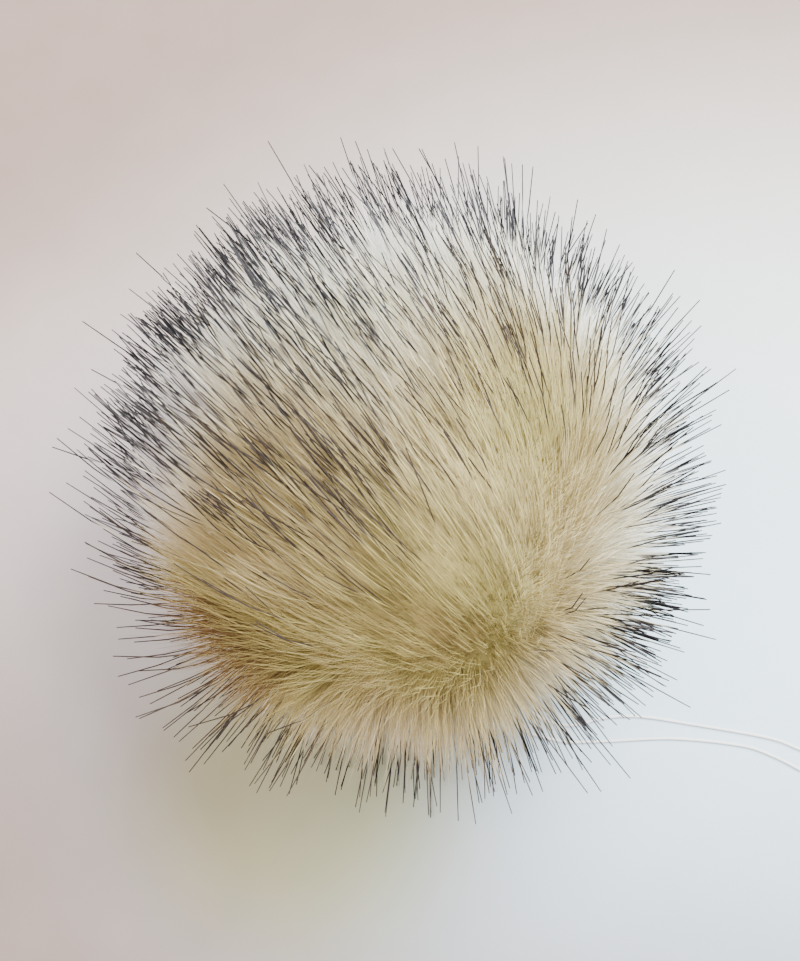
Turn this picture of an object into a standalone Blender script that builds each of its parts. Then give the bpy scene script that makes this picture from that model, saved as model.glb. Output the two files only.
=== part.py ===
"""A long-pile fur pom pom lying on a table, with the two free ends of its tie thread.

Metres, +Z up.  The origin is the middle of the small flat spot that the pom pom rests on.
The pile is one solid: a dense, slightly lumpy ball with tapered locks grown out of its faces.
Every lock leans with the nap, so the fur parts at a crown on the lower right of the front.
"""

import math
import random

import bmesh
import bpy
from mathutils import Vector, noise

# The ball of dense fur, and the flat spot where its weight presses it down.
CORE_RADIUS = 0.048
FLAT_RADIUS = 0.015
CORE_DETAIL = 4
LUMP_HEIGHT = 0.0012
LUMPS_PER_METRE = 55.0
REST_HEIGHT = math.sqrt(CORE_RADIUS**2 - FLAT_RADIUS**2)
CENTRE = Vector((0.0, 0.0, REST_HEIGHT))

# The locks: how many there are, how far their tips reach, and their outline from root to tip.
LOCK_COUNT = 290
TIP_RADIUS = 0.072
TIP_SHORTEST = 0.92
LOCK_SPACING = 0.0067
LOCK_ROOT_INSET = 0.0010
LOCK_STEPS = ((0.35, 0.80), (0.72, 0.48), (1.0, 0.11))  # share of the length, width against the root
LOCK_TAPER = 0.8
TIP_COLOUR_FROM = 1
SEED = 7

# A lock that reaches the table splays along it for a little, and is left out if that is short.
PATH_CHECKS = 40
FLOOR_SPLAY = 0.10
LEAST_LOCK = 0.35
AIM_AHEAD = 0.01
SHARP_ANGLE = math.radians(50)

# The nap: the way that the pile leans, how much, and how unevenly.
NAP = Vector((-0.47, 0.84, 0.27)).normalized()
NAP_LEAN = 0.17
NAP_JITTER = 0.05

# The tie thread: both ends leave the gather under the ball and lie along the table.
# Each route is (x, y) from above.  It starts just under the ball and drops to the table.
THREAD_RADIUS = 0.00035
THREAD_GAP = 0.0003
THREAD_POINTS = 60
ROUTE_STEPS = 24
THREAD_LIE = THREAD_RADIUS + 0.00003
LOCK_CLEARANCE = 0.0008
TIE_ROUTES = {
    "tie_end_inner": (
        (0.0160, -0.0170),
        (0.0195, -0.0235),
        (0.0240, -0.0335),
        (0.0310, -0.0435),
        (0.0400, -0.0472),
        (0.0499, -0.0453),
        (0.0581, -0.0451),
        (0.0700, -0.0469),
        (0.0883, -0.0502),
        (0.0958, -0.0530),
        (0.1075, -0.0582),
        (0.1185, -0.0655),
        (0.1270, -0.0750),
    ),
    "tie_end_outer": (
        (0.0125, -0.0195),
        (0.0150, -0.0265),
        (0.0195, -0.0370),
        (0.0270, -0.0468),
        (0.0378, -0.0509),
        (0.0480, -0.0511),
        (0.0653, -0.0504),
        (0.0813, -0.0520),
        (0.0881, -0.0541),
        (0.0955, -0.0579),
        (0.1058, -0.0645),
        (0.1140, -0.0732),
        (0.1195, -0.0835),
    ),
}

CREAM = (0.62, 0.53, 0.34, 1.0)
CHARCOAL = (0.035, 0.033, 0.034, 1.0)
THREAD_WHITE = (0.86, 0.84, 0.78, 1.0)


def clear_scene():
    for old in list(bpy.data.objects):
        bpy.data.objects.remove(old)


def new_collection(name):
    collection = bpy.data.collections.new(name)
    bpy.context.scene.collection.children.link(collection)
    return collection


def cloth_material(name, colour, roughness):
    material = bpy.data.materials.new(name)
    material.use_nodes = True
    shader = material.node_tree.nodes["Principled BSDF"]
    shader.inputs["Base Color"].default_value = colour
    shader.inputs["Roughness"].default_value = roughness
    shader.inputs["Metallic"].default_value = 0.0
    material.diffuse_color = colour
    return material


def smooth_route(points, count):
    """Points at even steps along a smooth curve through the given ones."""
    ends = [points[0] * 2 - points[1], *points, points[-1] * 2 - points[-2]]
    fine = []
    for a, b, c, d in zip(ends, ends[1:], ends[2:], ends[3:]):
        for step in range(ROUTE_STEPS):
            t = step / ROUTE_STEPS
            fine.append(
                0.5 * (2 * b + (c - a) * t + (2 * a - 5 * b + 4 * c - d) * t**2
                       + (3 * b - a - 3 * c + d) * t**3)
            )
    fine.append(points[-1].copy())
    along = [0.0]
    for before, after in zip(fine, fine[1:]):
        along.append(along[-1] + (after - before).length)
    route, k = [], 0
    for i in range(count):
        want = along[-1] * i / (count - 1)
        while k < len(fine) - 2 and along[k + 1] < want:
            k += 1
        share = (want - along[k]) / (along[k + 1] - along[k])
        route.append(fine[k].lerp(fine[k + 1], min(share, 1.0)))
    return route


def core_radius(direction):
    """How far the lumpy surface of the ball is from its centre."""
    return CORE_RADIUS + LUMP_HEIGHT * noise.noise(direction * CORE_RADIUS * LUMPS_PER_METRE)


def tie_route(points):
    """A thread's centreline: it starts THREAD_GAP under the ball and never dips below the table."""
    x, y = points[0]
    outward = Vector((x, y, -REST_HEIGHT)).normalized()
    clear = core_radius(outward) + THREAD_RADIUS + THREAD_GAP
    start = Vector((x, y, REST_HEIGHT - math.sqrt(clear**2 - x**2 - y**2)))
    route = smooth_route([start, *(Vector((*p, THREAD_LIE)) for p in points[1:])], THREAD_POINTS)
    for point in route:
        point.z = max(point.z, THREAD_LIE)
    return route


def pile_point(normal, lean, tip_radius, t):
    """A point on a lock: t is 0 at the root and 1 at the tip, and the lean grows with it."""
    direction = (normal + lean * t).normalized()
    return CENTRE + direction * (CORE_RADIUS + (tip_radius - CORE_RADIUS) * t)


def make_core(bm):
    """The dense ball, with low lumps and a flat spot at the table."""
    bmesh.ops.create_icosphere(bm, subdivisions=CORE_DETAIL, radius=CORE_RADIUS)
    for vertex in bm.verts:
        outward = vertex.co.normalized()
        vertex.co = CENTRE + outward * core_radius(outward)
        vertex.co.z = max(vertex.co.z, 0.0)


def choose_roots(bm, draw):
    """Faces to grow locks from, about LOCK_SPACING apart and off the flat spot."""
    faces = [f for f in bm.faces if min(v.co.z for v in f.verts) > 0.0]
    draw.shuffle(faces)
    chosen = []
    for face in faces:
        middle = face.calc_center_median()
        if all((middle - c).length > LOCK_SPACING for _, c in chosen):
            chosen.append((face, middle))
        if len(chosen) == LOCK_COUNT:
            break
    return [face for face, _ in chosen]


def thread_room(point, reach, threads):
    """How much room is left between a ring of a lock and the nearest thread."""
    return min((point - p).length for p in threads) - reach - THREAD_RADIUS


def lock_length(normal, lean, tip_radius, width, threads):
    """The share of its path that a lock has: it ends just after it touches the table."""
    longest = 1.0
    for i in range(1, PATH_CHECKS + 1):
        t = i / PATH_CHECKS
        point = pile_point(normal, lean, tip_radius, t)
        reach = width * (1 - LOCK_TAPER * t)
        lifted = Vector((point.x, point.y, max(point.z, reach)))
        if thread_room(lifted, reach, threads) < LOCK_CLEARANCE:
            return max(t - 2 / PATH_CHECKS, 0.0)
        if point.z < reach:
            longest = min(longest, t + FLOOR_SPLAY)
        if t >= longest:
            return longest
    return longest


def grow_locks(bm, threads):
    """Insets each chosen face and extrudes it along the nap in tapering rings."""
    draw = random.Random(SEED)
    roots = choose_roots(bm, draw)
    locks = []
    for face in roots:
        middle = face.calc_center_median()
        normal = (middle - CENTRE).normalized()
        jitter = Vector([draw.uniform(-NAP_JITTER, NAP_JITTER) for _ in range(3)])
        tip_radius = TIP_RADIUS * draw.uniform(TIP_SHORTEST, 1.0)
        lean = NAP * NAP_LEAN + jitter
        width = max((v.co - middle).length for v in face.verts) - LOCK_ROOT_INSET
        length = lock_length(normal, lean, tip_radius, width, threads)
        if length > LEAST_LOCK:
            locks.append((face, normal, lean, tip_radius, length))
    faces = [lock[0] for lock in locks]
    bmesh.ops.inset_individual(bm, faces=faces, thickness=LOCK_ROOT_INSET, use_even_offset=True)
    for face, normal, lean, tip_radius, length in locks:
        middle = face.calc_center_median()
        ring = [v.co - middle for v in face.verts]
        for number, (t, scale) in enumerate(LOCK_STEPS):
            face = bmesh.ops.extrude_discrete_faces(bm, faces=[face])["faces"][0]
            here = pile_point(normal, lean, tip_radius, t * length)
            ahead = pile_point(normal, lean, tip_radius, t * length + AIM_AHEAD)
            turn = normal.rotation_difference((ahead - here).normalized())
            corners = [here + turn @ offset * scale for offset in ring]
            sunk = min(0.0, min(corner.z for corner in corners))
            for vertex, corner in zip(face.verts, corners):
                vertex.co = corner - Vector((0.0, 0.0, sunk))
            if number >= TIP_COLOUR_FROM:
                for edge in face.edges:
                    for side in edge.link_faces:
                        side.material_index = 1


def make_pile(collection, threads):
    bm = bmesh.new()
    make_core(bm)
    grow_locks(bm, threads)
    mesh = bpy.data.meshes.new("fur_pile")
    bm.to_mesh(mesh)
    bm.free()
    mesh.shade_smooth()
    mesh.set_sharp_from_angle(angle=SHARP_ANGLE)
    mesh.materials.append(cloth_material("cream_underfur", CREAM, 0.85))
    mesh.materials.append(cloth_material("charcoal_tips", CHARCOAL, 0.55))
    pile = bpy.data.objects.new("fur_pile", mesh)
    collection.objects.link(pile)
    return pile


def make_thread(name, route, material, collection):
    curve = bpy.data.curves.new(name, "CURVE")
    curve.dimensions = "3D"
    curve.bevel_depth = THREAD_RADIUS
    curve.bevel_resolution = 2
    curve.use_fill_caps = True
    spline = curve.splines.new("POLY")
    spline.points.add(len(route) - 1)
    for point, place in zip(spline.points, route):
        point.co = (*place, 1.0)
    curve.materials.append(material)
    thread = bpy.data.objects.new(name, curve)
    collection.objects.link(thread)
    return thread


def main():
    clear_scene()
    collection = new_collection("fur_pom_pom")
    rest = bpy.data.objects.new("rest_point", None)
    rest.empty_display_size = FLAT_RADIUS
    collection.objects.link(rest)
    routes = {name: tie_route(points) for name, points in TIE_ROUTES.items()}
    threads = [p for route in routes.values() for p in route]
    pile = make_pile(collection, threads)
    pile.parent = rest
    white = cloth_material("white_thread", THREAD_WHITE, 0.7)
    for name, route in routes.items():
        make_thread(name, route, white, collection).parent = rest


main()
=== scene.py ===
"""The looks of a long-pile fur pom pom and of its tie thread.

Every hair is a thin closed tube that one geometry node tree grows out of the ball.  The same tree
makes the soft underfur and the longer black-tipped guard hairs, from different named sizes.
A second tree twists the three plies of the tie thread along its route.
Metres, +Z up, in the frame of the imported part.
"""

import math

import bmesh
import bpy
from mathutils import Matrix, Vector, noise


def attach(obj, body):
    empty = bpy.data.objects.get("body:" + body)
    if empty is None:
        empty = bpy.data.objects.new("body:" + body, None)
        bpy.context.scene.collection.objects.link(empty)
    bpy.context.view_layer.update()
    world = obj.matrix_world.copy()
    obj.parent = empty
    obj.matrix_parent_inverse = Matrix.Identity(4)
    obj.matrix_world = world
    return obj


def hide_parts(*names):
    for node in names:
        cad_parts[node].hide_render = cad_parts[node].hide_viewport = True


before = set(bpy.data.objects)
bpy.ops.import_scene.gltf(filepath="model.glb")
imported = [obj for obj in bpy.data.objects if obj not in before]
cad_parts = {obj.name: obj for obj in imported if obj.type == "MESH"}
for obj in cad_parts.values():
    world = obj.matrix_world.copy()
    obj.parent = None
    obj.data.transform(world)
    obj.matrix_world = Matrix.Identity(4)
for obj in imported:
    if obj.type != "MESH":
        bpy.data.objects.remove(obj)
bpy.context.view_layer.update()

# The ball, which rests on its flat spot at the origin, and the way that its nap leans.
CENTRE = Vector((0.0, 0.0, 0.0456))
NAP = Vector((-0.656, 0.718, 0.233)).normalized()

# The camera: nearly straight down, from a little in front.
VIEW_ELEVATION = math.radians(72)
VIEW_DISTANCE = 0.420
FOCAL_PIXELS = 1864
IMAGE_HEIGHT = 961
SENSOR = 36.0

# The tie thread: three plies, twisted.  Each route is (x, y) from above, and its first point is
# under the ball, THREAD_START above the table.
THREAD_RADIUS = 0.00035
THREAD_LIE = THREAD_RADIUS + 0.00003
THREAD_START = 0.0029
PLY_COUNT = 3
PLY_SIDES = 6
PLY_SHARE = 0.56
PLY_FIT = 0.95
TWIST_PITCH = 0.0021
POINTS_PER_TURN = 8
ROUTE_STEPS = 24
ROUTE_POINTS = 70
TIE_ROUTES = {
    "tie_end_inner": (
        (0.0160, -0.0170),
        (0.0195, -0.0235),
        (0.0240, -0.0335),
        (0.0310, -0.0435),
        (0.0400, -0.0472),
        (0.0499, -0.0453),
        (0.0581, -0.0451),
        (0.0700, -0.0469),
        (0.0883, -0.0502),
        (0.0958, -0.0530),
        (0.1075, -0.0582),
        (0.1185, -0.0655),
        (0.1270, -0.0750),
    ),
    "tie_end_outer": (
        (0.0125, -0.0195),
        (0.0150, -0.0265),
        (0.0195, -0.0370),
        (0.0270, -0.0468),
        (0.0378, -0.0509),
        (0.0480, -0.0511),
        (0.0653, -0.0504),
        (0.0813, -0.0520),
        (0.0881, -0.0541),
        (0.0955, -0.0579),
        (0.1058, -0.0645),
        (0.1140, -0.0732),
        (0.1195, -0.0835),
    ),
}

# The undercoat: the dense mass of fur that the single hairs stand out of.
UNDERCOAT_RADIUS = 0.0475
UNDERCOAT_DETAIL = 6
UNDERCOAT_LUMP = 0.0016
LUMPS_PER_METRE = 60.0
UNDERCOAT_RISE = 0.003
UNDERCOAT_DEPTH = 0.7

# What every hair has in common: its sides, the ball that it is rooted on, how much its length
# follows its tuft's, how rare the long ones are, and where its wave and its fine tip begin.
HAIR_SIDES = 3
ROOT_BALL_DETAIL = 5
TUFT_SPREAD = 0.6
LONG_POWER = 7.0
WAVE_PHASE = 91.0
FINING_POWER = 6.0
NOISE_MIDDLE = (0.5, 0.5, 0.5)
# A hair that would sink into the floor is lifted to FLOOR_GAP above it and splays outward.
FLOOR_GAP = 0.0002
FLOOR_SPLAY = 0.7
# Points this close are merged, which closes a tip that has no width.
POINTED = 1e-6
# How wide a hair's strip is in its colour sheet.
BAKE_WIDTH = 0.004

# The populations of hair.  Sizes in metres; shares are of the hair's length or of a full pull.
# Hairs and Tufts are counts for the whole ball.  Crown only and Uneven thin a population out.
# Long hairs makes a few hairs longer, and Shortening makes those towards SHORT_SIDE shorter.
# Lean is how far a hair leans with the nap, and Comb how much more so towards its tip.
# Burst opens the hairs around the crown, and the scatters and Wander turn their aims.
# The pulls draw a hair into its tuft.  Matting is extra waviness at the crown.
# Fining is the share of a tip's width that is taken off.
UNDERFUR = {
    "Hairs": 12000.0,
    "Crown only": 0.0,
    "Uneven": 0.0,
    "Points": 4,
    "Root radius": 0.0445,
    "Length": 0.0150,
    "Length spread": 0.30,
    "Long hairs": 0.25,
    "Shortening": 0.32,
    "Lean": 0.58,
    "Comb": 1.5,
    "Burst": 0.35,
    "Scatter": 0.09,
    "Tufts": 800.0,
    "Tuft scatter": 0.10,
    "Wander": 0.20,
    "Root pull": 0.15,
    "Tip pull": 0.22,
    "Wave": 0.0007,
    "Wave size": 1.3,
    "Matting": 0.8,
    "Root width": 0.00022,
    "Tip width": 0.0,
    "Taper from": 0.3,
    "Fining": 0.0,
}
WISPS = {
    "Hairs": 4200.0,
    "Crown only": 0.0,
    "Uneven": 0.0,
    "Points": 5,
    "Root radius": 0.0445,
    "Length": 0.0190,
    "Length spread": 0.30,
    "Long hairs": 0.3,
    "Shortening": 0.32,
    "Lean": 0.58,
    "Comb": 1.5,
    "Burst": 0.5,
    "Scatter": 0.14,
    "Tufts": 500.0,
    "Tuft scatter": 0.15,
    "Wander": 0.20,
    "Root pull": 0.30,
    "Tip pull": 0.20,
    "Wave": 0.0011,
    "Wave size": 1.6,
    "Matting": 0.3,
    "Root width": 0.00018,
    "Tip width": 0.0,
    "Taper from": 0.4,
    "Fining": 0.0,
}
CROWN_WISPS = {
    "Hairs": 70000.0,
    "Crown only": 1.0,
    "Uneven": 0.0,
    "Points": 5,
    "Root radius": 0.0464,
    "Length": 0.0090,
    "Length spread": 0.30,
    "Long hairs": 0.4,
    "Shortening": 0.0,
    "Lean": 0.62,
    "Comb": 1.1,
    "Burst": 1.2,
    "Scatter": 0.22,
    "Tufts": 3000.0,
    "Tuft scatter": 0.18,
    "Wander": 0.25,
    "Root pull": 0.15,
    "Tip pull": 0.30,
    "Wave": 0.0015,
    "Wave size": 1.6,
    "Matting": 0.6,
    "Root width": 0.00012,
    "Tip width": 0.0,
    "Taper from": 0.4,
    "Fining": 0.0,
}
GUARD = {
    "Hairs": 12500.0,
    "Crown only": 0.0,
    "Uneven": 1.0,
    "Points": 5,
    "Root radius": 0.0425,
    "Length": 0.0284,
    "Length spread": 0.17,
    "Long hairs": 0.24,
    "Shortening": 0.13,
    "Lean": 0.58,
    "Comb": 1.8,
    "Burst": 0.0,
    "Scatter": 0.11,
    "Tufts": 1900.0,
    "Tuft scatter": 0.14,
    "Wander": 0.20,
    "Root pull": 0.10,
    "Tip pull": 0.0,
    "Wave": 0.0006,
    "Wave size": 0.6,
    "Matting": 0.8,
    "Root width": 0.00015,
    "Tip width": 0.00039,
    "Taper from": 0.0,
    "Fining": 0.35,
}
POPULATIONS = (
    ("underfur_one", UNDERFUR, 11),
    ("underfur_two", UNDERFUR, 23),
    ("underfur_three", UNDERFUR, 37),
    ("pale_wisps", WISPS, 41),
    ("crown_wisps", CROWN_WISPS, 47),
    ("guard_hairs", GUARD, 53),
)
# The crown, where the fur parts: a direction, its reach, and the share of it that is full of wisps.
CROWN = (0.32, -0.79, 0.53)
CROWN_REACH = 0.6
CROWN_FULL = 0.5
# Where the guard hairs stand close or far apart: a direction, how far it reaches, and how much.
GUARD_SHARE = 0.29
GUARD_PLACES = (
    ((-0.50, 0.26, 0.83), 0.80, 0.07),
    ((0.73, -0.65, 0.21), 0.60, 0.67),
    ((0.50, -0.60, 0.62), 0.75, -0.58),
    ((0.25, -0.85, 0.45), 0.55, -0.40),
    ((-0.44, -0.82, 0.36), 0.70, -0.20),
    ((-0.70, -0.66, 0.26), 0.60, -0.24),
    ((0.12, -0.68, 0.72), 0.38, 0.62),
    ((0.65, -0.62, 0.44), 0.36, -0.40),
    ((0.60, 0.04, 0.80), 0.60, 0.17),
    ((0.30, 0.15, 0.94), 0.50, -0.16),
    ((0.33, 0.14, 0.93), 0.28, 0.13),
    ((0.23, -0.31, 0.92), 0.45, 0.06),
    ((0.47, -0.56, 0.68), 0.24, 0.65),
    ((-0.16, -0.17, 0.97), 0.50, 0.02),
    ((-0.12, -1.00, 0.05), 0.50, -0.18),
    ((0.99, -0.05, 0.05), 0.60, -0.06),
    ((0.08, 0.12, 0.99), 0.40, 0.14),
    ((0.22, -0.97, 0.00), 0.45, -0.20),
    ((0.85, -0.30, 0.43), 0.36, 0.24),
    ((-0.92, -0.05, 0.10), 0.55, -0.14),
    ((-0.35, 0.50, 0.79), 0.50, 0.14),
    ((0.85, 0.50, 0.16), 0.50, 0.15),
    ((0.18, 0.93, 0.30), 0.55, -0.23),
    ((-0.70, -0.68, -0.15), 0.50, 0.08),
)
# Where the hairs are longer or shorter than elsewhere, as a share of their length.
LONGER_PLACES = (
    ((-0.60, -0.75, 0.10), 0.80, 0.18),
    ((0.20, 0.88, 0.40), 0.85, 0.13),
    ((0.95, -0.35, -0.10), 0.75, -0.19),
    ((-0.15, -0.96, -0.20), 0.85, -0.19),
    ((0.80, 0.45, 0.10), 0.60, -0.10),
    ((-0.70, 0.60, 0.20), 0.60, 0.05),
    ((-0.95, -0.25, 0.00), 0.55, 0.11),
    ((0.62, -0.72, -0.20), 0.60, -0.09),
    ((0.25, -0.96, -0.08), 0.32, 0.22),
)
# The pile is shorter towards this direction, and longer away from it.
SHORT_SIDE = (-0.656, 0.718, 0.233)
# How far the matting reaches around the crown, and how quickly the nap wanders over the ball.
MATTED_REACH = 0.75
WANDER_SCALE = 2.2
# The pile is combed flatter on the side that faces this way, and stands up on the other.
COMBED_SIDE = (-0.60, -0.05, 0.80)
COMBED_FROM = -0.38
COMBED_TO = 1.0
# Hairs on the far side from this direction hang as a fringe, out of the combing.
UPPER_SIDE = (0.30, 0.951, 0.309)
FRINGE_FROM = -1.1
FRINGE_TO = -0.6
# Around this place the fur is also swept to one side, which moves the crown over.
SWEPT_PLACE = (0.45, -0.74, 0.50)
SWEEP = Vector((0.22, 0.0, 0.0))
SWEPT_FROM = 0.3
SWEPT_TO = 1.0

# How warm the fur's colour is, from 0 (mauve grey) to 1 (golden brown).  It is partly the fur's own
# tone and partly painted shade: on the side away from the window lamp, places push it to a darker
# golden brown low down and to mauve grey at the left rim.  It starts from PALE, and each place adds
# its own amount, which fades out over its reach.
PALE = 0.22
FUR_TONE_AND_PAINTED_SHADE_PLACES = (
    ((0.34, -0.68, 0.65), 1.20, 0.26),
    ((0.22, -0.82, 0.52), 0.55, 0.28),
    ((-0.05, -0.45, 0.89), 0.60, 0.03),
    ((0.10, -0.86, 0.49), 0.35, 0.05),
    ((0.22, -0.94, 0.26), 0.45, 0.11),
    ((-0.21, -0.90, 0.37), 0.40, 0.12),
    ((-0.73, -0.68, 0.00), 0.36, 0.50),
    ((-0.62, -0.78, -0.05), 0.38, 0.44),
    ((-0.66, -0.74, 0.02), 0.60, 0.38),
    ((-0.38, -0.87, 0.28), 0.35, 0.20),
    ((-0.64, -0.44, 0.63), 0.95, 0.26),
    ((-0.84, -0.48, 0.22), 0.60, 0.10),
    ((-0.87, -0.05, 0.45), 0.60, -0.16),
    ((-0.95, -0.20, 0.05), 0.85, -0.26),
    ((-0.57, 0.45, 0.68), 0.60, -0.10),
    ((-0.30, -0.95, 0.00), 0.42, 0.22),
    ((0.12, -0.98, -0.05), 0.55, 0.13),
    ((0.00, 0.85, 0.50), 0.70, -0.12),
    ((0.62, -0.02, 0.78), 0.70, 0.29),
    ((0.92, -0.20, 0.20), 0.65, -0.14),
    ((0.75, 0.62, 0.22), 0.60, -0.12),
)

# The colours along that scale: mauve grey, cool white, cream, light tan, yellow, golden brown.
# Each root colour is darker than its tip colour: partly the fur's own colour and partly painted
# shade in the depths of the pile.
ROOT_COLOURS = (
    (0.0, (0.51, 0.465, 0.475)),
    (0.11, (0.80, 0.80, 0.79)),
    (0.22, (0.82, 0.785, 0.60)),
    (0.45, (0.545, 0.436, 0.198)),
    (0.7, (0.42, 0.358, 0.112)),
    (1.0, (0.18, 0.10, 0.03)),
)
TIP_COLOURS = (
    (0.0, (0.64, 0.60, 0.61)),
    (0.11, (0.91, 0.915, 0.905)),
    (0.22, (0.90, 0.87, 0.70)),
    (0.45, (0.61, 0.513, 0.282)),
    (0.7, (0.46, 0.398, 0.148)),
    (1.0, (0.21, 0.13, 0.054)),
)
# Where along a hair its root's colour gives way to its tip's, and how shiny everything is.
TIP_FROM = 0.1
TIP_TO = 0.8
SHINE = 0.06
# How much warmer or cooler one hair, or one tuft, may be than its place.
OWN_TONE = (-0.05, 0.10)
TUFT_TONE = (-0.04, 0.06)
# How much warmer the undercoat may be in spots, and how fine the spots are.
MOTTLE = 0.12
MOTTLE_SCALE = 220.0
# The guard hairs: pale up to DARK_FROM of their length or a little more, and dark from there.
# The last digits of a hair's tone, spread out by the two draws, tell its start and its darkness.
DARK_FROM = 0.44
DARK_SPREAD = 0.32
DARK_BEFORE = 0.03
DARK_AFTER = 0.07
START_DRAW = 37.0
SMOKY_DRAW = 61.0
SMOKY_POWER = 2.2
CHARCOAL = (0.005, 0.005, 0.006)
SMOKE = (0.092, 0.09, 0.094)
UMBER = (0.066, 0.045, 0.029)
# Where the fur is warm, the dark tips turn brown.
BROWN_FROM = 0.30
BROWN_TO = 0.60
BROWN_SHARE = 0.6
# The thread: white, a little shaded between its fibres.
THREAD_SHADE = (0.88, 0.87, 0.83)
THREAD_WHITE = (0.97, 0.97, 0.95)
FIBRE_SCALE = 2600.0

# The stage: pale paper with painted light, brightest around one place and fainter and warmer away
# from it: the falloff of the lamp's light is painted into its colour.
FLOOR_SIZE = 3.0
PAINTED_FALLOFF_PLACE = (0.10, 0.005, 0.0)
PAINTED_FALLOFF_STRETCH = (1.0, 1.5, 1.0)
PAINTED_FALLOFF_FROM = 0.03
PAINTED_FALLOFF_TO = 0.26
PAINTED_LIT_PAPER = ((0.74, 0.79, 0.80), (0.78, 0.83, 0.84))
PAINTED_SHADED_PAPER = ((0.257, 0.197, 0.174), (0.297, 0.237, 0.214))
FLECK_SCALE = 70.0
FLECK_DETAIL = 6.0
PLAIN = (1.0, 1.0, 1.0)
# Painted light colour on the paper: a cool tint near this place and a warm tint away from it,
# standing in for the lamps' colours.
PAINTED_COOL_LIGHT_PLACE = (0.07, -0.08, 0.0)
PAINTED_COOL_LIGHT_FROM = 0.02
PAINTED_COOL_LIGHT_TO = 0.22
PAINTED_COOL_LIGHT_TINT = (0.86, 1.0, 1.09)
PAINTED_WARM_LIGHT_TINT = (1.0, 0.93, 0.86)
# Two soft patches of painted light on the paper: a yellow one below the ball, which is painted
# light thrown back from the fur, and a lighter one beside it, which is a painted pool of light.
PAINTED_BOUNCE_PLACE = (-0.025, -0.064, 0.0)
PAINTED_BOUNCE_FROM = 0.015
PAINTED_BOUNCE_TO = 0.055
PAINTED_BOUNCE_TINT = (0.88, 0.85, 0.52)
PAINTED_LIGHT_POOL_PLACE = (-0.105, 0.01, 0.0)
PAINTED_LIGHT_POOL_FROM = 0.01
PAINTED_LIGHT_POOL_TO = 0.09
PAINTED_LIGHT_POOL_TINT = (1.35, 1.39, 1.50)
# The lamps: place, size, power and colour.
LAMPS = {
    "window": ((0.37, 0.27, 0.62), 0.6, 26.5, (0.93, 0.97, 1.0)),
    "warm_fill": ((-0.8, -0.3, 0.8), 1.0, 19.0, (1.0, 0.79, 0.75)),
}
STUDIO_COLOUR = (0.95, 0.96, 1.0, 1.0)
STUDIO_STRENGTH = 1.15


class Wire:
    """A value on its way through a node tree.  Arithmetic on it adds the maths nodes."""

    def __init__(self, graph, socket):
        self.graph = graph
        self.socket = socket

    def with_other(self, operation, first, second):
        wide = any(
            isinstance(value, (tuple, Vector))
            or (isinstance(value, Wire) and value.socket.type in ("VECTOR", "RGBA"))
            for value in (first, second)
        )
        kind = "ShaderNodeVectorMath" if wide else "ShaderNodeMath"
        return self.graph.add(kind, {"operation": operation}, first, second)

    def __add__(self, other):
        return self.with_other("ADD", self, other)

    def __radd__(self, other):
        return self.with_other("ADD", other, self)

    def __sub__(self, other):
        return self.with_other("SUBTRACT", self, other)

    def __rsub__(self, other):
        return self.with_other("SUBTRACT", other, self)

    def __mul__(self, other):
        return self.with_other("MULTIPLY", self, other)

    def __truediv__(self, other):
        return self.with_other("DIVIDE", self, other)

    def __pow__(self, other):
        return self.with_other("POWER", self, other)

    def output(self, name):
        """Another output of the node that this value comes from."""
        outputs = [s for s in self.socket.node.outputs if s.enabled and s.name == name]
        return Wire(self.graph, outputs[0])


class Graph:
    """A node tree, with one method that adds any node."""

    def __init__(self, tree):
        self.tree = tree

    def add(self, kind, settings, *values, **named):
        """Settings come first; then inputs by order, or by name with _ for a space."""
        node = self.tree.nodes.new(kind)
        for name, setting in settings.items():
            if name == "stops":
                self.set_stops(node, setting)
            else:
                setattr(node, name, setting)
        sockets = [s for s in node.inputs if s.enabled]
        for socket, value in zip(sockets, values):
            self.feed(socket, value)
        for name, value in named.items():
            wanted = name.replace("_", " ").lower()
            self.feed(next(s for s in sockets if s.name.lower() == wanted), value)
        outputs = [s for s in node.outputs if s.enabled]
        return Wire(self, outputs[0]) if outputs else node

    def feed(self, socket, value):
        if isinstance(value, Wire):
            self.tree.links.new(value.socket, socket)
        elif value is not None:
            if socket.type == "VECTOR" and isinstance(value, (int, float)):
                value = (value, value, value)
            if socket.type == "RGBA" and len(value) == 3:
                value = (*value, 1.0)
            socket.default_value = value

    def set_stops(self, node, stops):
        ramp = node.color_ramp
        while len(ramp.elements) < len(stops):
            ramp.elements.new(0.5)
        for element, (position, colour) in zip(ramp.elements, stops):
            element.position = position
            element.color = (*colour, 1.0)

    def mixed(self, share, first, second, kind="FLOAT"):
        return self.add("ShaderNodeMix", {"data_type": kind}, share, first, second)

    def maths(self, operation, *values):
        return self.add("ShaderNodeMath", {"operation": operation}, *values)

    def vector_maths(self, operation, *values):
        return self.add("ShaderNodeVectorMath", {"operation": operation}, *values)

    def smooth(self, value, low, high):
        """0 below low and 1 above high, with a smooth step between."""
        settings = {"interpolation_type": "SMOOTHSTEP"}
        return self.add("ShaderNodeMapRange", settings, value, low, high, 0.0, 1.0)

    def unit(self, value):
        return self.vector_maths("NORMALIZE", value)

    def apart(self, one, other):
        return self.vector_maths("DISTANCE", one, other)

    def noise(self, place, **named):
        return self.add("ShaderNodeTexNoise", {}, place, **named)

    def vector(self, x=0.0, y=0.0, z=0.0):
        return self.add("ShaderNodeCombineXYZ", {}, x, y, z)


# --- The tree that grows hair ---------------------------------------------------------------

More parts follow.
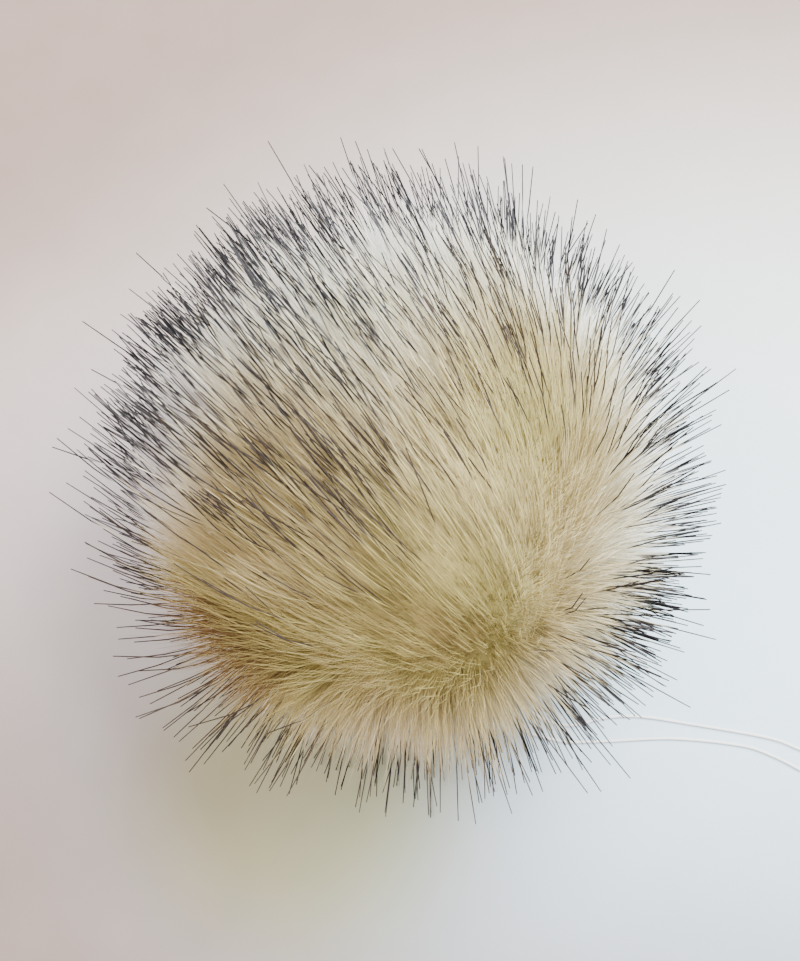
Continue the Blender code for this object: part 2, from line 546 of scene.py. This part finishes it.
HAIR_INPUTS = (
    ("Hairs", "NodeSocketFloat"),
    ("Crown only", "NodeSocketFloat"),
    ("Uneven", "NodeSocketFloat"),
    ("Points", "NodeSocketInt"),
    ("Root radius", "NodeSocketFloat"),
    ("Length", "NodeSocketFloat"),
    ("Length spread", "NodeSocketFloat"),
    ("Long hairs", "NodeSocketFloat"),
    ("Shortening", "NodeSocketFloat"),
    ("Lean", "NodeSocketFloat"),
    ("Comb", "NodeSocketFloat"),
    ("Burst", "NodeSocketFloat"),
    ("Scatter", "NodeSocketFloat"),
    ("Tufts", "NodeSocketFloat"),
    ("Tuft scatter", "NodeSocketFloat"),
    ("Wander", "NodeSocketFloat"),
    ("Root pull", "NodeSocketFloat"),
    ("Tip pull", "NodeSocketFloat"),
    ("Wave", "NodeSocketFloat"),
    ("Wave size", "NodeSocketFloat"),
    ("Matting", "NodeSocketFloat"),
    ("Root width", "NodeSocketFloat"),
    ("Tip width", "NodeSocketFloat"),
    ("Taper from", "NodeSocketFloat"),
    ("Fining", "NodeSocketFloat"),
    ("Seed", "NodeSocketInt"),
    ("Material", "NodeSocketMaterial"),
)

# What a tree keeps for itself while it grows a mesh: the finished mesh goes without it.
WORKING_VALUES = (
    "root", "tuft", "stray", "tuft_aim", "hair_length", "tone", "along", "round", "id",
)


def new_tree(name, inputs):
    """A geometry node tree with these inputs: its graph, and its inputs as wires."""
    tree = bpy.data.node_groups.new(name, "GeometryNodeTree")
    for label, kind in inputs:
        tree.interface.new_socket(name=label, in_out="INPUT", socket_type=kind)
    tree.interface.new_socket(name="Mesh", in_out="OUTPUT", socket_type="NodeSocketGeometry")
    graph = Graph(tree)
    source = tree.nodes.new("NodeGroupInput")
    wires = {s.name: Wire(graph, s) for s in source.outputs if s.name}
    return graph, wires


def close_tree(graph, mesh, material):
    """Realizes, paints and smooths the mesh, and makes it the tree's result."""
    solid = graph.add("GeometryNodeRealizeInstances", {}, mesh)
    smooth = graph.add("GeometryNodeSetShadeSmooth", {}, solid)
    painted = graph.add("GeometryNodeSetMaterial", {}, smooth, material=material)
    graph.add("NodeGroupOutput", {}, painted)


def stored(graph, geometry, name, value, kind="FLOAT", domain="POINT"):
    """The geometry with a named value kept on it."""
    settings = {"data_type": kind, "domain": domain}
    return graph.add(
        "GeometryNodeStoreNamedAttribute", settings, geometry, name=name, value=value
    )


def read(graph, name, kind="FLOAT"):
    """A value that was stored on the geometry."""
    return graph.add("GeometryNodeInputNamedAttribute", {"data_type": kind}, name)


def chance(graph, low, high, seed, identity=None):
    """A random value for each point, or for each identity where one is given."""
    kind = "FLOAT_VECTOR" if isinstance(low, tuple) else "FLOAT"
    return graph.add(
        "FunctionNodeRandomValue", {"data_type": kind}, low, high, identity, seed
    )


def scattered(graph, ball, count, seed):
    """Points spread over the unit ball: count in all."""
    density = count / (4 * math.pi)
    return graph.add("GeometryNodeDistributePointsOnFaces", {}, ball, density=density, seed=seed)


def wandering(graph, root):
    """A slow change of the nap from place to place, the same for every population."""
    slow = graph.noise(root, scale=WANDER_SCALE, detail=1.0)
    return slow.output("Color") - NOISE_MIDDLE


def hair_line(graph, wires, root, aim, along):
    """Where a hair that leaves the root direction is: it leans with the nap, more so to its tip."""
    side = graph.vector_maths("DOT_PRODUCT", root, COMBED_SIDE)
    above = graph.vector_maths("DOT_PRODUCT", root, UPPER_SIDE)
    combed = graph.smooth(side, COMBED_FROM, COMBED_TO) * wires["Comb"]
    lean = (wires["Lean"] + combed * along) * graph.smooth(above, FRINGE_FROM, FRINGE_TO)
    swept = 1 - graph.smooth(graph.apart(root, SWEPT_PLACE), SWEPT_FROM, SWEPT_TO)
    combed_way = graph.unit(root + lean * NAP + swept * SWEEP)
    heading = graph.unit(combed_way + wandering(graph, root) * wires["Wander"] + aim)
    return root * wires["Root radius"] + heading * (read(graph, "hair_length") * along)


def summed(graph, root, places):
    """What a list of places adds up to at a root: each fades out over its own reach."""
    total = 0.0
    for place, reach, amount in places:
        total = total + (1 - graph.smooth(graph.apart(root, place), 0.0, reach)) * amount
    return total


def thinned(graph, wires, roots, place, seed):
    """The hairs left once a population is kept to the crown, or made uneven."""
    at_crown = 1 - graph.smooth(graph.apart(place, CROWN), CROWN_FULL * CROWN_REACH, CROWN_REACH)
    crown = graph.mixed(wires["Crown only"], 1.0, at_crown)
    share = GUARD_SHARE + summed(graph, place, GUARD_PLACES)
    keep = crown * graph.mixed(wires["Uneven"], 1.0, share)
    lost = graph.add("FunctionNodeCompare", {}, chance(graph, 0.0, 1.0, seed + 9), keep)
    return graph.add("GeometryNodeDeleteGeometry", {"domain": "POINT"}, roots, lost)


def hair_roots(graph, wires):
    """Points on the unit ball with each hair's root, tuft, aims, length and tone."""
    seed = wires["Seed"]
    ball = graph.add("GeometryNodeMeshIcoSphere", {}, 1.0, ROOT_BALL_DETAIL)
    roots = scattered(graph, ball, wires["Hairs"], seed)
    tufts = scattered(graph, ball, wires["Tufts"], seed + 1)
    place = graph.add("GeometryNodeInputPosition", {})
    roots = thinned(graph, wires, roots, place, seed)
    nearest = graph.add("GeometryNodeSampleNearest", {}, tufts, place)
    settings = {"data_type": "FLOAT_VECTOR"}
    tuft = graph.add("GeometryNodeSampleIndex", settings, tufts, place, nearest)
    low, high = (-1.0, -1.0, -1.0), (1.0, 1.0, 1.0)
    spread = chance(graph, -1.0, 1.0, seed + 2)
    spread = spread + chance(graph, -TUFT_SPREAD, TUFT_SPREAD, seed + 3, nearest)
    longer = chance(graph, 0.0, 1.0, seed + 7) ** LONG_POWER
    shorter = graph.vector_maths("DOT_PRODUCT", place, SHORT_SIDE)
    usual = 1 - shorter * wires["Shortening"] + summed(graph, place, LONGER_PLACES)
    own = 1 + spread * wires["Length spread"] + longer * wires["Long hairs"]
    length = wires["Length"] * usual * own
    # The tone holds painted shade on the side away from the window lamp as well as the fur's own
    # colour.
    tone = PALE + summed(graph, place, FUR_TONE_AND_PAINTED_SHADE_PLACES) + chance(graph, *OWN_TONE, seed + 5)
    tone = tone + chance(graph, *TUFT_TONE, seed + 6, nearest)
    points = stored(graph, roots, "root", graph.unit(place), "FLOAT_VECTOR")
    points = stored(graph, points, "tuft", graph.unit(tuft), "FLOAT_VECTOR")
    points = stored(graph, points, "stray", chance(graph, low, high, seed + 4), "FLOAT_VECTOR")
    tuft_aim = chance(graph, low, high, seed + 8, nearest) * wires["Tuft scatter"]
    points = stored(graph, points, "tuft_aim", tuft_aim, "FLOAT_VECTOR")
    points = stored(graph, points, "hair_length", length)
    return stored(graph, points, "tone", tone)


def hair_path(graph, wires, along):
    """A point of a hair: drawn into its tuft, waved, and kept off the floor."""
    root = read(graph, "root", "FLOAT_VECTOR")
    stray = read(graph, "stray", "FLOAT_VECTOR")
    tuft_aim = read(graph, "tuft_aim", "FLOAT_VECTOR")
    matted = 1 - graph.smooth(graph.apart(root, CROWN), 0.0, MATTED_REACH)
    wild = graph.vector_maths("DOT_PRODUCT", stray, stray)
    tuft_aim = tuft_aim + (root - CROWN) * (matted * wires["Burst"])
    own_aim = stray * (wild * wires["Scatter"]) + tuft_aim
    alone = hair_line(graph, wires, root, own_aim, along)
    together = hair_line(graph, wires, read(graph, "tuft", "FLOAT_VECTOR"), tuft_aim, along)
    pull = graph.mixed(along, wires["Root pull"], wires["Tip pull"])
    gathered = graph.mixed(pull, alone, together, "VECTOR")

    # Noise strays by half either way from its middle, so the wave's reach is doubled.
    reach = wires["Wave"] * (1 + matted * wires["Matting"]) * along * 2.0
    phase = stray * WAVE_PHASE + graph.vector(along * wires["Wave size"])
    swirl = graph.noise(phase, scale=1.0).output("Color")
    free = gathered + (swirl - NOISE_MIDDLE) * reach + CENTRE

    split = graph.add("ShaderNodeSeparateXYZ", {}, free)
    sunk = graph.maths("MAXIMUM", FLOOR_GAP + wires["Root width"] - split.output("Z"), 0.0)
    outward = graph.unit(graph.vector(split, split.output("Y")))
    return free + outward * (sunk * FLOOR_SPLAY) + graph.vector(z=sunk)


def hair_tree():
    """Grows a population: a tube along each hair's path, with a sheet for its colour."""
    graph, wires = new_tree("grown_hair", HAIR_INPUTS)
    line = graph.add("GeometryNodeCurvePrimitiveLine", {}, (0, 0, 0), (0, 0, 1))
    line = graph.add("GeometryNodeResampleCurve", {}, line, count=wires["Points"])
    hairs = graph.add("GeometryNodeInstanceOnPoints", {}, hair_roots(graph, wires), instance=line)
    hairs = graph.add("GeometryNodeRealizeInstances", {}, hairs)
    hairs = stored(graph, hairs, "along", graph.add("GeometryNodeSplineParameter", {}))
    along = read(graph, "along")
    hairs = graph.add(
        "GeometryNodeSetPosition", {}, hairs, position=hair_path(graph, wires, along)
    )
    taper = graph.smooth(along, wires["Taper from"], 1.0)
    width = graph.mixed(taper, wires["Root width"], wires["Tip width"]) * 0.5
    width = width * (1 - along**FINING_POWER * wires["Fining"])
    section = graph.add("GeometryNodeCurvePrimitiveCircle", {}, HAIR_SIDES, radius=1.0)
    section = stored(graph, section, "round", graph.add("GeometryNodeSplineParameter", {}))
    mesh = graph.add("GeometryNodeCurveToMesh", {}, hairs, section, width, True)
    sheet = graph.vector(read(graph, "tone") + read(graph, "round") * BAKE_WIDTH, along)
    mesh = stored(graph, mesh, "OFBake", sheet, "FLOAT2", "CORNER")
    mesh = graph.add("GeometryNodeMergeByDistance", {}, mesh, distance=POINTED)
    close_tree(graph, mesh, wires["Material"])
    return graph.tree


def made_by(tree, name, values):
    """A plain mesh object from a tree and its inputs' values, with the modifier gone."""
    holder = bpy.data.objects.new(name + "_holder", bpy.data.meshes.new(name + "_holder"))
    bpy.context.scene.collection.objects.link(holder)
    modifier = holder.modifiers.new("grow", "NODES")
    modifier.node_group = tree
    keys = {i.name: i.identifier for i in tree.interface.items_tree if i.in_out == "INPUT"}
    for label, value in values.items():
        modifier[keys[label]] = value
    bpy.context.view_layer.update()
    evaluated = holder.evaluated_get(bpy.context.evaluated_depsgraph_get())
    mesh = bpy.data.meshes.new_from_object(evaluated)
    mesh.name = name
    for spare in [a.name for a in mesh.attributes if a.name in WORKING_VALUES]:
        mesh.attributes.remove(mesh.attributes[spare])
    bpy.data.objects.remove(holder)
    piece = bpy.data.objects.new(name, mesh)
    bpy.context.scene.collection.objects.link(piece)
    return piece


# --- Materials ------------------------------------------------------------------------------


def new_material(name, roughness):
    """A material with its graph and its shader."""
    material = bpy.data.materials.new(name)
    material.use_nodes = True
    graph = Graph(material.node_tree)
    shader = material.node_tree.nodes["Principled BSDF"]
    shader.inputs["Roughness"].default_value = roughness
    shader.inputs["Specular IOR Level"].default_value = SHINE
    return material, graph, shader


def hair_sheet(graph):
    """The hair's own sheet: how warm it is, and how far along it a point is."""
    sheet = graph.add("ShaderNodeUVMap", {"uv_map": "OFBake"})
    split = graph.add("ShaderNodeSeparateXYZ", {}, sheet)
    return split, split.output("Y")


def pale_fur(graph, warmth, along):
    """Cream fur: a darker golden brown towards the root, which is partly its own colour and partly
    painted shade in the depths, and nearly white at the tips.
    """
    root = graph.add("ShaderNodeValToRGB", {"stops": ROOT_COLOURS}, warmth)
    tip = graph.add("ShaderNodeValToRGB", {"stops": TIP_COLOURS}, warmth)
    # Partly painted shade: the root's darker colour gives way to the tip's along the hair.
    return graph.mixed(graph.smooth(along, TIP_FROM, TIP_TO), root, tip, "RGBA")


def underfur_material():
    material, graph, shader = new_material("cream_underfur", roughness=0.75)
    warmth, along = hair_sheet(graph)
    graph.feed(shader.inputs["Base Color"], pale_fur(graph, warmth, along))
    return material


def guard_material():
    """Guard hairs: pale fur up to a start of their own, and charcoal, smoke or umber above it."""
    material, graph, shader = new_material("black_tipped_hair", roughness=0.45)
    warmth, along = hair_sheet(graph)
    start = DARK_FROM + graph.maths("FRACT", warmth * START_DRAW) * DARK_SPREAD
    dark = graph.smooth(along, start - DARK_BEFORE, start + DARK_AFTER)
    shaft = pale_fur(graph, warmth, along)
    smoky = graph.maths("FRACT", warmth * SMOKY_DRAW) ** SMOKY_POWER
    browned = graph.smooth(warmth, BROWN_FROM, BROWN_TO) * BROWN_SHARE
    tip = graph.mixed(browned, graph.mixed(smoky, CHARCOAL, SMOKE, "RGBA"), UMBER, "RGBA")
    graph.feed(shader.inputs["Base Color"], graph.mixed(dark, shaft, tip, "RGBA"))
    return material


def thread_material():
    material, graph, shader = new_material("white_thread", roughness=0.7)
    place = graph.add("ShaderNodeTexCoord", {}).output("Object")
    fibre = graph.noise(place, scale=FIBRE_SCALE, detail=2.0)
    colour = graph.mixed(fibre, THREAD_SHADE, THREAD_WHITE, "RGBA")
    graph.feed(shader.inputs["Base Color"], colour)
    return material


def undercoat_material():
    material, graph, shader = new_material("matted_undercoat", roughness=0.9)
    place = graph.add("ShaderNodeTexCoord", {}).output("Object")
    root = graph.unit(place - CENTRE)
    mottled = graph.noise(place, scale=MOTTLE_SCALE) * MOTTLE
    # The tone holds painted shade on the side away from the window lamp as well as the fur's own
    # colour.
    warmth = PALE + summed(graph, root, FUR_TONE_AND_PAINTED_SHADE_PLACES) + mottled
    graph.feed(shader.inputs["Base Color"], pale_fur(graph, warmth, UNDERCOAT_DEPTH))
    return material


# --- The tie thread -------------------------------------------------------------------------

PLY_INPUTS = (
    ("Route", "NodeSocketObject"),
    ("Turns", "NodeSocketFloat"),
    ("Points", "NodeSocketInt"),
    ("Ply radius", "NodeSocketFloat"),
    ("Twist radius", "NodeSocketFloat"),
    ("Material", "NodeSocketMaterial"),
)


def smooth_route(points, count):
    """Points at even steps along a smooth curve through the given ones."""
    ends = [points[0] * 2 - points[1], *points, points[-1] * 2 - points[-2]]
    fine = []
    for a, b, c, d in zip(ends, ends[1:], ends[2:], ends[3:]):
        for step in range(ROUTE_STEPS):
            t = step / ROUTE_STEPS
            fine.append(
                0.5 * (2 * b + (c - a) * t + (2 * a - 5 * b + 4 * c - d) * t**2
                       + (3 * b - a - 3 * c + d) * t**3)
            )
    fine.append(points[-1].copy())
    along = [0.0]
    for before, after in zip(fine, fine[1:]):
        along.append(along[-1] + (after - before).length)
    route, k = [], 0
    for i in range(count):
        want = along[-1] * i / (count - 1)
        while k < len(fine) - 2 and along[k + 1] < want:
            k += 1
        share = (want - along[k]) / (along[k + 1] - along[k])
        route.append(fine[k].lerp(fine[k + 1], min(share, 1.0)))
    return route


def tie_route(name):
    """A thread's centreline, from under the ball to its free end on the table."""
    corners = TIE_ROUTES[name]
    start = Vector((*corners[0], THREAD_START))
    route = smooth_route([start, *(Vector((*p, THREAD_LIE)) for p in corners[1:])], ROUTE_POINTS)
    for point in route:
        point.z = max(point.z, THREAD_LIE)
    return route


def ply_tree():
    """The tree that twists the plies around a route, side by side."""
    graph, wires = new_tree("twisted_plies", PLY_INPUTS)
    route = graph.add("GeometryNodeObjectInfo", {"transform_space": "RELATIVE"}, wires["Route"])
    route = route.output("Geometry")
    route = graph.add("GeometryNodeResampleCurve", {}, route, count=wires["Points"])
    route = graph.add("GeometryNodeSetCurveNormal", {"mode": "Z_UP"}, route)
    share = graph.add("GeometryNodeSplineParameter", {})
    side = graph.add("GeometryNodeInputNormal", {})
    forward = graph.add("GeometryNodeInputTangent", {})
    upward = graph.vector_maths("CROSS_PRODUCT", forward, side)
    radius = wires["Ply radius"]
    section = graph.add("GeometryNodeCurvePrimitiveCircle", {}, PLY_SIDES, radius=radius)
    joined = graph.tree.nodes.new("GeometryNodeJoinGeometry")
    for ply in range(PLY_COUNT):
        angle = (share * wires["Turns"] + ply / PLY_COUNT) * (2 * math.pi)
        across = graph.maths("COSINE", angle)
        above = graph.maths("SINE", angle)
        offset = (side * across + upward * above) * wires["Twist radius"]
        strand = graph.add("GeometryNodeSetPosition", {}, route, offset=offset)
        tube = graph.add("GeometryNodeCurveToMesh", {}, strand, section, fill_caps=True)
        graph.tree.links.new(tube.socket, joined.inputs[0])
    close_tree(graph, Wire(graph, joined.outputs[0]), wires["Material"])
    return graph.tree


def make_tie(name, tree, material):
    """One free end of the tie thread, as a cord."""
    route = tie_route(name)
    length = sum((b - a).length for a, b in zip(route, route[1:]))
    guide = bpy.data.curves.new(name + "_guide", "CURVE")
    guide.dimensions = "3D"
    spline = guide.splines.new("POLY")
    spline.points.add(len(route) - 1)
    for point, place in zip(spline.points, route):
        point.co = (*place, 1.0)
    holder = bpy.data.objects.new(name + "_guide", guide)
    bpy.context.scene.collection.objects.link(holder)
    turns = length / TWIST_PITCH
    ply_radius = THREAD_RADIUS * PLY_SHARE * PLY_FIT
    piece = made_by(tree, "thread_" + name, {
        "Route": holder,
        "Turns": turns,
        "Points": int(turns * POINTS_PER_TURN),
        "Ply radius": ply_radius,
        "Twist radius": THREAD_RADIUS - ply_radius,
        "Material": material,
    })
    bpy.data.objects.remove(holder)
    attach(piece, "root")
    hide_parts(name)
    return piece


# --- The scene ------------------------------------------------------------------------------


def make_camera():
    """The camera, which looks at the ball's centre."""
    back = Vector((0.0, -math.cos(VIEW_ELEVATION), math.sin(VIEW_ELEVATION)))
    camera = bpy.data.cameras.new("camera")
    camera.sensor_width = SENSOR
    camera.lens = FOCAL_PIXELS * SENSOR / IMAGE_HEIGHT
    holder = bpy.data.objects.new("camera", camera)
    holder.location = CENTRE + back * VIEW_DISTANCE
    holder.rotation_euler = back.to_track_quat("Z", "Y").to_euler()
    bpy.context.scene.collection.objects.link(holder)
    bpy.context.scene.camera = holder


def make_undercoat(material):
    """The lumpy ball under the hairs, raised a little at the crown."""
    mesh = bpy.data.meshes.new("undercoat_ball")
    bm = bmesh.new()
    bmesh.ops.create_icosphere(bm, subdivisions=UNDERCOAT_DETAIL, radius=UNDERCOAT_RADIUS)
    for vertex in bm.verts:
        outward = vertex.co.normalized()
        lump = UNDERCOAT_LUMP * noise.noise(vertex.co * LUMPS_PER_METRE)
        rise = UNDERCOAT_RISE * max(1 - (outward - Vector(CROWN)).length / MATTED_REACH, 0.0)
        vertex.co += outward * (lump + rise) + CENTRE
        vertex.co.z = max(vertex.co.z, FLOOR_GAP)
    bm.to_mesh(mesh)
    bm.free()
    mesh.shade_smooth()
    mesh.materials.append(material)
    piece = bpy.data.objects.new("undercoat_ball", mesh)
    bpy.context.scene.collection.objects.link(piece)
    return piece


def make_lamp(name, place, size, power, colour):
    """A square lamp that faces the ball."""
    lamp = bpy.data.lights.new(name, "AREA")
    lamp.size = size
    lamp.energy = power
    lamp.color = colour
    holder = bpy.data.objects.new(name, lamp)
    holder.location = place
    holder.rotation_euler = (Vector(place) - CENTRE).to_track_quat("Z", "Y").to_euler()
    bpy.context.scene.collection.objects.link(holder)


def paper_material():
    material, graph, shader = new_material("paper_with_painted_light", roughness=0.8)
    place = graph.add("ShaderNodeTexCoord", {}).output("Object")
    # Painted light: the paper's colour is lightest around one place and darker away from it, as if
    # the lamp's light fell off.
    away = (place - PAINTED_FALLOFF_PLACE) * PAINTED_FALLOFF_STRETCH
    dim = graph.smooth(graph.vector_maths("LENGTH", away), PAINTED_FALLOFF_FROM, PAINTED_FALLOFF_TO)
    fleck = graph.noise(place, scale=FLECK_SCALE, detail=FLECK_DETAIL)
    bright = graph.mixed(fleck, *PAINTED_LIT_PAPER, "RGBA")
    faint = graph.mixed(fleck, *PAINTED_SHADED_PAPER, "RGBA")
    # Painted light colour: cool near one place, warm away from it.
    warm = graph.smooth(graph.apart(place, PAINTED_COOL_LIGHT_PLACE), PAINTED_COOL_LIGHT_FROM, PAINTED_COOL_LIGHT_TO)
    tint = graph.mixed(warm, PAINTED_COOL_LIGHT_TINT, PAINTED_WARM_LIGHT_TINT, "RGBA")
    # Painted light: yellow light thrown back from the fur onto the paper below the ball.
    painted_bounce = 1 - graph.smooth(graph.apart(place, PAINTED_BOUNCE_PLACE), PAINTED_BOUNCE_FROM, PAINTED_BOUNCE_TO)
    tint = tint * graph.mixed(painted_bounce, PLAIN, PAINTED_BOUNCE_TINT, "RGBA")
    # Painted light: a pool of light on the paper beside the ball.
    lit = 1 - graph.smooth(graph.apart(place, PAINTED_LIGHT_POOL_PLACE), PAINTED_LIGHT_POOL_FROM, PAINTED_LIGHT_POOL_TO)
    tint = tint * graph.mixed(lit, PLAIN, PAINTED_LIGHT_POOL_TINT, "RGBA")
    graph.feed(shader.inputs["Base Color"], graph.mixed(dim, bright, faint, "RGBA") * tint)
    return material


def make_stage():
    bpy.ops.mesh.primitive_plane_add(size=FLOOR_SIZE, location=(0, 0, 0))
    floor = bpy.context.object
    floor.name = "pale_floor"
    floor.data.materials.append(paper_material())
    world = bpy.data.worlds.new("studio")
    world.use_nodes = True
    world.node_tree.nodes["Background"].inputs["Color"].default_value = STUDIO_COLOUR
    world.node_tree.nodes["Background"].inputs["Strength"].default_value = STUDIO_STRENGTH
    bpy.context.scene.world = world
    for name, sizes in LAMPS.items():
        make_lamp(name, *sizes)


def main():
    make_camera()
    plies = ply_tree()
    white = thread_material()
    for name in TIE_ROUTES:
        make_tie(name, plies, white)
    hair = hair_tree()
    soft, dark = underfur_material(), guard_material()
    fur = [make_undercoat(undercoat_material())]
    for name, sizes, seed in POPULATIONS:
        material = dark if name.startswith("guard") else soft
        fur.append(made_by(hair, name, {**sizes, "Seed": seed, "Material": material}))
    for piece in fur:
        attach(piece, "root")
        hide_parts("fur_pile")
    make_stage()


main()
